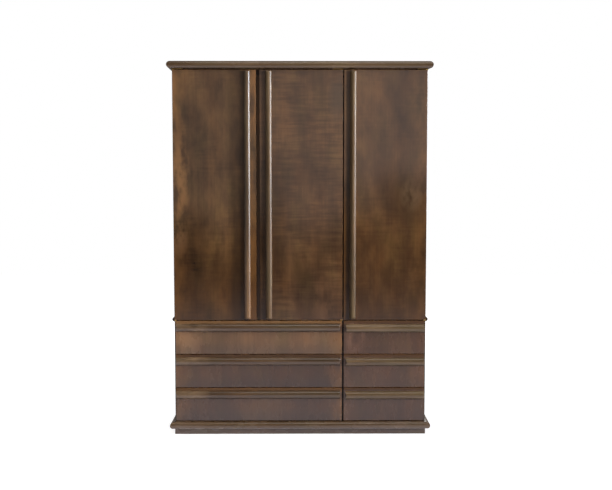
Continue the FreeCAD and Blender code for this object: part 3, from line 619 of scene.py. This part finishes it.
def makeMouldingTree(shape):
    # bullnose length along X with its nose at Y = 0, mitred over Reach at either end
    tree, given = newTree("bullnoseLength", [
        ("Length", "Float"), ("Depth", "Float"), ("Thickness", "Float"), ("Reach", "Float"),
        ("Mitre Start", "Float"), ("Mitre End", "Float"), ("Finish", "Material")])
    nose = shape["noseSteps"]
    wrap = nose + 5
    grid, row, column = gridRows(tree, 4, wrap + 1)
    column = calc(tree, "MODULO", column, float(wrap))
    half = times(tree, given["Thickness"], 0.5)
    share = calc(tree, "DIVIDE", calc(tree, "SUBTRACT", column, 2.0), float(nose), clamp=True)
    angle = calc(tree, "MULTIPLY_ADD", share, math.pi, -math.pi / 2)
    across = times(tree, half, calc(tree, "SUBTRACT", 1.0, calc(tree, "COSINE", angle)))
    up = calc(tree, "MULTIPLY_ADD", half, calc(tree, "SINE", angle), half)
    fromBack = calc(tree, "MINIMUM", column, calc(tree, "SUBTRACT", nose + 4.0, column))
    across = pick(tree, calc(tree, "LESS_THAN", fromBack, 1.5), across, given["Reach"])
    across = pick(tree, calc(tree, "LESS_THAN", fromBack, 0.5), across, given["Depth"])
    isPole = calc(tree, "GREATER_THAN", calc(tree, "ABSOLUTE", calc(tree, "SUBTRACT", row, 1.5)), 1.0)
    across = pick(tree, isPole, across, given["Reach"])
    up = pick(tree, isPole, up, half)
    slant = calc(tree, "MINIMUM", across, given["Reach"])
    start = times(tree, slant, given["Mitre Start"])
    end = calc(tree, "SUBTRACT", given["Length"], times(tree, slant, given["Mitre End"]))
    along = pick(tree, calc(tree, "GREATER_THAN", row, 1.5), start, end)
    endTree(tree, placeGrid(tree, grid, along, across, up), given["Finish"])
    return tree


screwShape = {"sides": 14, "topShare": 0.66, "slotLength": 3.0, "slotLift": 0.95}


def makeScrewTree(shape):
    # slotted round-head screws on points, each facing its point's own way
    tree, given = newTree("slottedScrews", [
        ("Head Radius", "Float"), ("Head Height", "Float"), ("Slot Width", "Float"),
        ("Seed", "Int"), ("Finish", "Material")])
    topRadius = times(tree, given["Head Radius"], shape["topShare"])
    head = outcome(tree, "GeometryNodeMeshCone",
                   {"Vertices": shape["sides"], "Radius Top": topRadius,
                    "Radius Bottom": given["Head Radius"], "Depth": given["Head Height"]})
    slotSize = join(tree, times(tree, given["Head Radius"], shape["slotLength"]),
                    given["Slot Width"], given["Head Height"])
    slot = outcome(tree, "GeometryNodeMeshCube", {"Size": slotSize})
    lift = join(tree, z=times(tree, given["Head Height"], shape["slotLift"]))
    lifted = outcome(tree, "GeometryNodeTransform", {"Geometry": slot, "Translation": lift})
    slotted = addNode(tree, "GeometryNodeMeshBoolean", {"operation": "DIFFERENCE"},
                      {"Mesh 1": head, "Mesh 2": lifted}).outputs[0]
    facing = addNode(tree, "GeometryNodeInputNamedAttribute", {"data_type": "FLOAT_VECTOR"},
                     {"Name": "facing"}).outputs[0]
    aligned = addNode(tree, "FunctionNodeAlignRotationToVector", {"axis": "Z"}, {"Vector": facing}).outputs[0]
    angle = addNode(tree, "FunctionNodeRandomValue", {"data_type": "FLOAT"},
                    {"Min": 0.0, "Max": math.pi, "Seed": given["Seed"]}).outputs["Value"]
    twist = outcome(tree, "FunctionNodeEulerToRotation", {0: join(tree, z=angle)})
    turned = addNode(tree, "FunctionNodeRotateRotation", {"rotation_space": "LOCAL"},
                     {"Rotation": aligned, "Rotate By": twist}).outputs[0]
    placed = outcome(tree, "GeometryNodeInstanceOnPoints",
                     {"Points": given["Geometry"], "Instance": slotted, "Rotation": turned})
    endTree(tree, placed, given["Finish"])
    return tree


pinShape = {"sides": 10, "topShare": 0.6, "heightShare": 0.4}


def makePinTree(shape):
    # small pins, evenly spaced along the wires of the base mesh and facing the back
    tree, given = newTree("panelPins", [
        ("Spacing", "Float"), ("Head Radius", "Float"), ("Finish", "Material")])
    line = outcome(tree, "GeometryNodeMeshToCurve", {0: given["Geometry"]})
    spaced = addNode(tree, "GeometryNodeResampleCurve", {"mode": "LENGTH"},
                     {"Curve": line, "Length": given["Spacing"]}).outputs[0]
    head = outcome(tree, "GeometryNodeMeshCone",
                   {"Vertices": shape["sides"],
                    "Radius Top": times(tree, given["Head Radius"], shape["topShare"]),
                    "Radius Bottom": given["Head Radius"],
                    "Depth": times(tree, given["Head Radius"], shape["heightShare"])})
    placed = outcome(tree, "GeometryNodeInstanceOnPoints", {"Points": spaced, "Instance": head})
    rotated = outcome(tree, "GeometryNodeRotateInstances",
                      {"Instances": placed, "Rotation": (-math.pi / 2, 0, 0)})
    endTree(tree, rotated, given["Finish"])
    return tree


railTree = makeRailTree(railShape)
mouldingTree = makeMouldingTree(mouldingShape)
screwTree = makeScrewTree(screwShape)
pinTree = makePinTree(pinShape)
print("rules for rails, mouldings, screws and pins made")


def finishMesh(piece, sharpFrom, ease):
    # normals outwards, smooth curves between crisp edges, and edges eased by a small bevel
    build = bmesh.new()
    build.from_mesh(piece.data)
    bmesh.ops.remove_doubles(build, verts=build.verts, dist=weld)
    bmesh.ops.recalc_face_normals(build, faces=build.faces)
    build.to_mesh(piece.data)
    build.free()
    bevel = piece.modifiers.new("easedEdges", "BEVEL")
    bevel.width = ease
    bevel.segments = 2
    bevel.limit_method = "ANGLE"
    bevel.angle_limit = math.radians(sharpFrom)
    bevel.use_clamp_overlap = True
    piece.data.polygons.foreach_set("use_smooth", [True] * len(piece.data.polygons))
    piece.data.set_sharp_from_angle(angle=math.radians(sharpFrom))
    return piece


def bodyOf(node):
    return next(body for body, members in bodies.items() if node in members)


def standFor(piece, node):
    # the piece is shown in place of the node and moves with the node's body
    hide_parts(node)
    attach(piece, bodyOf(node))


def boxOf(node):
    low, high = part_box(node)
    return tuple(low), tuple(high)


logReach = 40  # metres either way from which the pieces are cut


def shiftOf(name):
    # which part of the log a piece is cut from
    pickFrom = random.Random("wardrobe " + name)
    return tuple(pickFrom.uniform(-logReach, logReach) for axis in range(3))


def turnInto(mesh, along, across, up, origin):
    # the mesh's own X, Y and Z turned to these directions of the row frame
    turn = Matrix((along, across, up)).transposed().to_4x4()
    mesh.transform(Matrix.Translation(origin) @ turn)


handleSetup = {"flank": 0.004, "endRound": 0.010, "ease": 0.0012, "sharpFrom": 50}


def makeHandle(node, upright, look):
    low, high = boxOf(node)
    size = [b - a for a, b in zip(low, high)]
    length, width = (size[2], size[0]) if upright else (size[0], size[2])
    name = node.replace("_", "-") + "-dSection"
    grain = "Z" if upright else "X"
    values = {"Length": length, "Width": width, "Depth": size[1], "Flank": handleSetup["flank"],
              "End Round": handleSetup["endRound"],
              "Finish": woodMaterial(name + "Wood", grain, shiftOf(node), look)}
    mesh = growMesh(name, railTree, bpy.data.meshes.new(name + "Base"), values)
    if upright:
        turnInto(mesh, (0, 0, 1), (0, 1, 0), (1, 0, 0), low)
    else:
        turnInto(mesh, (1, 0, 0), (0, 1, 0), (0, 0, 1), low)
    piece = finishMesh(addObject(name, mesh), handleSetup["sharpFrom"], handleSetup["ease"])
    standFor(piece, node)


railStain = {**darkStain, **stained((58, 44, 31), (93, 74, 54), (128, 107, 81)),
             "clouds": 0.4, "mottle": 0.3, "streaks": 0.9, "fibres": 0.25, "ripple": 0.0,
             "roughness": 0.39, "uneven": 0.0, "coat": 0.0, "relief": 0.000004}
paleRailStain = {**railStain, **stained((66, 51, 36), (105, 85, 63), (142, 119, 91))}
railLooks = {  # the lacquer has dulled unevenly
    "left": {**railStain, "roughness": 0.34, "shine": 0.54,
             # the warmer, lighter patch low on the left rail is a painted reflection
             "patches": [(-0.320, 0.70, 0.10, 0.55, 0.7, tone(150, 112, 76))], "patchy": 1.5},
    "middle": {**paleRailStain, "shine": 0.27},
    "right": {**paleRailStain, "shine": 0.14},
}
pullStain = {**railStain, **stained((56, 42, 28), (92, 70, 50), (130, 104, 76)),
             "roughness": 0.25, "shine": 0.58,
             "patches": [(-0.680, 0.40, 0.15, 0.60, 0.75, tone(160, 130, 98))], "patchy": 4.0}
palePullStain = {**pullStain, **stained((70, 56, 36), (112, 90, 64), (150, 126, 94)), "shine": 0.52}

for side, look in railLooks.items():
    makeHandle(f"door_{side}_rail", True, look)
for column, look in (("left", pullStain), ("right", palePullStain)):
    for level in ("lower", "middle", "upper"):
        makeHandle(f"drawer_{column}_{level}_pull", False, look)
print("door rails and drawer pulls made")


mouldingStain = {**darkStain, **stained((66, 48, 31), (102, 79, 55), (138, 112, 82)),
                 "clouds": 0.5, "mottle": 0.4, "streaks": 0.8, "ripple": 0.0,
                 "relief": 0.00004, "wear": 0.0, "thinned": 0.0}
baseStain = {**mouldingStain, "patchy": 2.0,
             "patches": [(-0.80, 0.05, 0.25, 0.30, 0.5, tone(150, 124, 100)),
                         (0.80, 0.05, 0.60, 0.30, 0.5, tone(150, 126, 106))]}
mouldingSetup = {"reach": 0.028, "ease": 0.0007, "sharpFrom": 40}


def makeMoulding(node, kind, look):
    low, high = boxOf(node)
    size = [b - a for a, b in zip(low, high)]
    isFront = kind == "front"
    name = node.replace("_", "-") + "-bullnose"
    values = {"Length": size[0] if isFront else size[1], "Depth": size[1] if isFront else size[0],
              "Thickness": size[2], "Reach": mouldingSetup["reach"], "Mitre Start": 1.0,
              "Mitre End": 1.0 if isFront else 0.0,
              "Finish": woodMaterial(name + "Wood", "X" if isFront else "Y", shiftOf(node), look)}
    mesh = growMesh(name, mouldingTree, bpy.data.meshes.new(name + "Base"), values)
    directions = {"front": ((1, 0, 0), (0, 1, 0), low), "left": ((0, 1, 0), (1, 0, 0), low),
                  "right": ((0, 1, 0), (-1, 0, 0), (high[0], low[1], low[2]))}
    along, across, origin = directions[kind]
    turnInto(mesh, along, across, (0, 0, 1), origin)
    piece = finishMesh(addObject(name, mesh), mouldingSetup["sharpFrom"], mouldingSetup["ease"])
    standFor(piece, node)


for ledge, look in (("crown", mouldingStain), ("base_moulding", baseStain)):
    for kind in ("front", "left", "right"):
        makeMoulding(f"{ledge}_{kind}", kind, look)
print("crown and base mouldings made")


# Screws: each entry is where the head sits and which way it faces

screwSetup = {
    "wood": {"Head Radius": 0.0038, "Head Height": 0.0009, "Slot Width": 0.0009},
    "hinge": {"Head Radius": 0.0026, "Head Height": 0.0006, "Slot Width": 0.0007},
}


def makeScrews(name, body, kind, places, finish, seed):
    base = bpy.data.meshes.new(name + "Places")
    base.from_pydata([place for place, facing in places], [], [])
    base.attributes.new("facing", "FLOAT_VECTOR", "POINT").data.foreach_set(
        "vector", [part for place, facing in places for part in facing])
    mesh = growMesh(name, screwTree, base, {**screwSetup[kind], "Seed": seed, "Finish": finish})
    piece = addObject(name, mesh)
    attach(piece, body)


def spread(first, last, count):
    return [first + (last - first) * index / (count - 1) for index in range(count)]


doorScrewSetup = {
    "railScrews": 5, "railInset": 0.10,
    "catchInset": 0.070, "catchSteps": (-0.014, 0.014), "catchHeight": 2.142,
    "plateSteps": (0.022, 0.038), "plateDepth": -0.265,
}


def doorScrews(side, setup):
    panelLow, panelHigh = boxOf(f"door_{side}_panel")
    railLow, railHigh = boxOf(f"door_{side}_rail")
    isLeft = side == "left"
    catchCentre = panelHigh[0] - setup["catchInset"] if isLeft else panelLow[0] + setup["catchInset"]
    hingeEdge = panelLow[0] if isLeft else panelHigh[0]
    inwards = 1 if isLeft else -1
    middle = (railLow[0] + railHigh[0]) / 2
    heights = spread(railLow[2] + setup["railInset"], railHigh[2] - setup["railInset"], setup["railScrews"])
    places = [((middle, panelHigh[1], z), (0, 1, 0)) for z in heights]
    makeScrews(f"door-{side}-railScrews", f"door_{side}", "wood", places, steel, seed=11)
    places = [((catchCentre + step, panelHigh[1], setup["catchHeight"]), (0, 1, 0))
              for step in setup["catchSteps"]]
    for z, facing in ((panelLow[2], -1), (panelHigh[2], 1)):
        places += [((hingeEdge + inwards * step, setup["plateDepth"], z), (0, 0, facing))
                   for step in setup["plateSteps"]]
    makeScrews(f"door-{side}-fittingScrews", f"door_{side}", "hinge", places, brass, seed=12)


for side in ("left", "middle", "right"):
    doorScrews(side, doorScrewSetup)


drawerScrewSetup = {
    "inRow": {"left": 5, "right": 3},
    "pullInset": 0.09, "bottomInset": 0.06, "bottomEdge": 0.008,
}


def drawerScrews(column, level, setup):
    body = f"drawer_{column}_{level}"
    frontBack = boxOf(body + "_front")[1][1]
    pullLow, pullHigh = boxOf(body + "_pull")
    bottomLow, bottomHigh = boxOf(body + "_bottom")
    middle = (pullLow[2] + pullHigh[2]) / 2

    def across(inset):
        return spread(bottomLow[0] + inset, bottomHigh[0] - inset, setup["inRow"][column])

    places = [((x, frontBack, middle), (0, 1, 0)) for x in across(setup["pullInset"])]
    makeScrews(f"drawer-{column}-{level}-pullScrews", body, "wood", places, steel, seed=21)
    places = [((x, bottomHigh[1] - setup["bottomEdge"], bottomLow[2]), (0, 0, -1))
              for x in across(setup["bottomInset"])]
    makeScrews(f"drawer-{column}-{level}-bottomScrews", body, "wood", places, steel, seed=22)


for column in ("left", "right"):
    for level in ("lower", "middle", "upper"):
        drawerScrews(column, level, drawerScrewSetup)


carcassScrewSetup = {
    "battenRows": 4, "battenHalf": 0.009, "battenPitch": 0.3032,
    "battenWidth": 0.018, "battenDepths": (-0.12, 0.06, 0.24),
    "pivots": (-0.747, 0.24733, 0.747),
    "plateDepths": (-0.254, -0.226), "plateThickness": 0.003,
    "socketThickness": 0.005, "socketRadius": 0.026,
    "socketTurns": (math.pi / 2, math.pi * 7 / 6, math.pi * 11 / 6),
}


def carcassScrews(setup):
    battenLow, battenHigh = boxOf("shelf_battens")
    width = setup["battenWidth"]
    places = []
    for row in range(setup["battenRows"]):
        z = battenLow[2] + setup["battenHalf"] + setup["battenPitch"] * row
        for y in setup["battenDepths"]:
            places += [((battenLow[0] + width, y, z), (1, 0, 0)), ((battenHigh[0] - width, y, z), (-1, 0, 0))]
    makeScrews("shelfBattenScrews", "carcass", "wood", places, steel, seed=31)
    plateFoot = boxOf("pivot_plates")[1][2] - setup["plateThickness"]
    places = [((x, y, plateFoot), (0, 0, -1)) for x in setup["pivots"] for y in setup["plateDepths"]]
    makeScrews("pivotPlateScrews", "carcass", "hinge", places, brass, seed=32)
    socketLow, socketHigh = boxOf("rail_sockets")
    poleLow, poleHigh = boxOf("clothes_rail")
    y, z = (poleLow[1] + poleHigh[1]) / 2, (poleLow[2] + poleHigh[2]) / 2
    places = []
    thickness, radius = setup["socketThickness"], setup["socketRadius"]
    for x, facing in ((socketLow[0] + thickness, 1), (socketHigh[0] - thickness, -1)):
        places += [((x, y + radius * math.cos(turn), z + radius * math.sin(turn)), (facing, 0, 0))
                   for turn in setup["socketTurns"]]
    makeScrews("socketScrews", "carcass", "hinge", places, brass, seed=33)


carcassScrews(carcassScrewSetup)
print("screws made")


# Pins round the back panels, and blocks glued into the corners of the plinth

pinSetup = {"inset": 0.006, "dividerInset": 0.08, "spacing": 0.15, "head": 0.0024}


def makePins(node):
    low, high = boxOf(node)
    inset = pinSetup["inset"]
    left, right, bottom, top = low[0] + inset, high[0] - inset, low[2] + inset, high[2] - inset
    divider = (boxOf("upper_divider")[0][0] + boxOf("upper_divider")[1][0]) / 2
    foot, head = bottom + pinSetup["dividerInset"], top - pinSetup["dividerInset"]
    corners = [(x, high[1], z) for x, z in ((left, bottom), (right, bottom), (right, top), (left, top),
                                            (divider, foot), (divider, head))]
    base = bpy.data.meshes.new(node + "Wires")
    base.from_pydata(corners, [(0, 1), (1, 2), (2, 3), (3, 0), (4, 5)], [])
    name = node.replace("_", "-") + "-pins"
    mesh = growMesh(name, pinTree, base, {"Spacing": pinSetup["spacing"], "Head Radius": pinSetup["head"],
                                          "Finish": steel})
    piece = addObject(name, mesh)
    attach(piece, "carcass")


makePins("back_upper")
makePins("back_lower")

blockSetup = {"board": 0.022, "leg": 0.060, "thick": 0.008, "height": 0.034, "ease": 0.0015, "sharpFrom": 30}


def makeCornerBlocks(setup):
    low, high = boxOf("plinth")
    board, leg, thick, tall = setup["board"], setup["leg"], setup["thick"], setup["height"]
    vertices, faces = [], []
    for x, inX in ((low[0] + board, 1), (high[0] - board, -1)):
        for y, inY in ((low[1] + board, 1), (high[1] - board, -1)):
            first = len(vertices)
            outline = [(x, y), (x + inX * leg, y), (x + inX * leg, y + inY * thick),
                       (x + inX * thick, y + inY * leg), (x, y + inY * leg)]
            vertices += [(px, py, high[2] - tall) for px, py in outline]
            vertices += [(px, py, high[2]) for px, py in outline]
            count = len(outline)
            foot = range(first, first + count)
            head = range(first + count, first + 2 * count)
            faces += [tuple(foot), tuple(head)]
            faces += [(foot[n], foot[(n + 1) % count], head[(n + 1) % count], head[n]) for n in range(count)]
    mesh = bpy.data.meshes.new("plinthCornerBlocks")
    mesh.from_pydata(vertices, [], faces)
    piece = finishMesh(addObject("plinthCornerBlocks", mesh), setup["sharpFrom"], setup["ease"])
    dress(piece, woodMaterial("plinthCornerBlocksWood", "X", shiftOf("blocks"), lightWood))
    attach(piece, "carcass")


lightWood = {**darkStain, **stained((128, 92, 56), (168, 128, 84), (196, 158, 112)),
             "clouds": 0.6, "mottle": 0.4, "streaks": 0.8, "ripple": 0.0,
             "roughness": 0.46, "coat": 0.06, "wear": 0.0, "thinned": 0.0}
makeCornerBlocks(blockSetup)
print("pins and corner blocks made")


# Finishes of the CAD nodes

plinthStain = {**mouldingStain, **stained((64, 48, 36), (99, 79, 63), (134, 112, 92))}
# front edges painted dark: painted shade where they show in the gaps
carcassStain = {**darkStain, "roughness": 0.36, "coat": 0.12, "wear": 0.2, "thinned": 0.0, "frontShade": 0.9}
insideStain = {**carcassStain, **stained((94, 67, 42), (134, 99, 66), (166, 127, 88))}
dullStain = {**insideStain, "roughness": 0.55, "coat": 0.0, "shine": 0.15}
leftSideStain = {**insideStain, "paintedShade": [(-0.735, -0.740, 0.0, 0.60, 0.60)]}  # outer faces are painted darker, as painted shade
rightSideStain = {**dullStain, "paintedShade": [(0.735, 0.740, 1.0, 0.80, 0.80)]}
backStain = {**darkStain, **stained((108, 78, 50), (142, 108, 74), (172, 134, 96)),
             "roughness": 0.55, "coat": 0.0, "wear": 0.0, "thinned": 0.0}

doorStain = {**darkStain, "clouds": 1.0, "mottle": 0.80, "streaks": 0.20, "fibres": 0.18, "ripple": 0.24,
             # side edges painted dark: painted shade in the gaps
             "roughness": 0.20, "sideShadeAndEndGrain": 0.8,
             # the bluish foot is a painted floor reflection
             "footShadeAndSheen": 1.0, "footShadeReach": 0.09, "footShadeTint": (1.0, 1.03, 1.20, 1)}
leftDoorStain = {**doorStain, **stained((62, 42, 24), (105, 75, 46), (146, 106, 62)),
                 # a pale painted sheen high up, painted shade lower down
                 "thinned": 0.8, "paintedSheen": 0.06,
                 "lowerShade": 0.80, "lowerShadeFrom": 1.30, "lowerShadeTo": 0.90, "lowerShadeTint": (0.47, 0.40, 0.29, 1),
                 "patches": [(-0.715, 1.53, 0.070, 0.30, 0.8, tone(156, 112, 68)),
                             (-0.720, 1.18, 0.060, 0.12, 0.6, tone(150, 110, 76))],
                 # painted shadow of the rail on the door beside it, and painted shade on the strip right of
                 # the rail
                 "paintedShade": [(-0.450, -0.387, -0.31, 0.32, 0.75), (-0.310, -0.300, -0.25, 0.0, 0.22)]}
# a pale painted sheen high up
middleDoorStain = {**doorStain, "ripple": 0.52, "rippleFrom": 0.2, "thinned": 0.0, "paintedSheen": 0.085,
                   "patches": [(0.225, 2.02, 0.070, 0.17, 0.7, tone(70, 57, 45)),
                               (0.150, 0.81, 0.100, 0.16, 0.45, tone(116, 82, 54))],
                   # painted shade lower down on the left of the door, towards the rail
                   "paintedShade": [(-0.05, -0.13, 0.0, 0.0, 0.4)]}
# a pale painted sheen high up, painted shade lower down
rightDoorStain = {**doorStain, "clouds": 0.8, "thinned": 0.3, "paintedSheen": 0.095, "paintedSheenFrom": 1.30, "paintedSheenTo": 1.65,
                  "lowerShade": 0.70, "lowerShadeFrom": 1.55, "lowerShadeTo": 1.25, "lowerShadeTint": (0.69, 0.62, 0.44, 1),
                  "patches": [(0.660, 1.44, 0.075, 0.11, 0.7, tone(116, 90, 66))],
                  # painted shadow of the rail on the door beside it
                  "paintedShade": [(0.262, 0.282, 0.31, 0.55, 0.62)]}

drawerStain = {**darkStain, **stained((54, 36, 25), (82, 56, 39), (110, 79, 54)),
               # side edges painted dark: painted shade in the gaps
               "mottle": 0.5, "fibres": 0.10, "ripple": 0.0, "wear": 0.6, "thinned": 0.6, "sideShadeAndEndGrain": 0.8,
               # the darker foot of each front is painted shade
               "footShadeAndSheen": 1.0, "stripHeight": 0.015, "topStrip": tone(124, 88, 54)}
paleDrawerStain = {**drawerStain, **stained((86, 60, 41), (117, 86, 60), (148, 112, 80)),
                   "topStrip": tone(144, 107, 70),
                   "patches": [(-0.730, 0.57, 0.15, 0.16, 0.7, tone(176, 132, 94))]}
rightDrawerStain = {**drawerStain, **stained((58, 39, 27), (88, 60, 42), (118, 83, 58)),
                    # a milder painted shade at the foot
                    "thinned": 0.12, "footShadeAndSheen": 0.3, "topStrip": tone(98, 71, 50),
                    "patches": [(0.320, 0.61, 0.08, 0.13, 0.5, tone(146, 108, 86))]}

finishes = [
    # start of the node's name, end of it, grain, look; a later row wins over an earlier one
    ("door_left_panel", "", "Z", leftDoorStain),
    ("door_middle_panel", "", "Z", middleDoorStain),
    ("door_right_panel", "", "Z", rightDoorStain),
    ("drawer", "_front", "Z", drawerStain),
    ("drawer_right", "_front", "Z", rightDrawerStain),
    ("drawer_left_upper_front", "", "Z", paleDrawerStain),
    # the darker strip on this front is painted shade
    ("drawer_left_middle_front", "", "Z", {**drawerStain, "topStrip": tone(88, 64, 46)}),
    ("drawer", "_box", "Y", lightWood),
    ("drawer", "_bottom", "X", lightWood),
    ("drawer_runners", "", "Y", lightWood),
    ("shelf_battens", "", "Y", lightWood),
    ("clothes_rail", "", "X", lightWood),
    ("plinth", "", "X", plinthStain),
    # its dark ends are darker end grain
    ("mid_board", "", "X", {**mouldingStain, "sideShadeAndEndGrain": 0.6, "sideReach": 0.021}),
    # its front edge a little darker: painted shade in the gap
    ("top_rail", "", "X", {**carcassStain, "frontShade": 0.20}),
    ("top_panel", "", "X", carcassStain),
    ("base_panel", "", "X", carcassStain),
    ("shelves", "", "X", insideStain),
    # its front edge a little darker: painted shade in the gap between the doors
    ("centre_post", "", "Z", {**carcassStain, "frontShade": 0.10}),
    ("upper_divider", "", "Z", insideStain),
    ("lower_divider", "", "Z", carcassStain),
    ("upper_side", "_left", "Z", leftSideStain),
    ("lower_side", "_left", "Z", leftSideStain),
    ("upper_side", "_right", "Z", rightSideStain),
    ("lower_side", "_right", "Z", rightSideStain),
    ("back_", "", "Z", backStain),
]

for start, end, grain, look in finishes:
    for node in nodes:
        if node.startswith(start) and node.endswith(end):
            dress(nodes[node], woodMaterial(node + "Finish", grain, shiftOf(node), look, boxOf(node)))
for node in nodes:
    if node.endswith("_fittings") or node in ("pivot_plates", "rail_sockets"):
        dress(nodes[node], brass)
dress(nodes["door_catches"], mouldedPlastic("catchPlastic", plasticSetup))
print("finishes of the CAD nodes set")
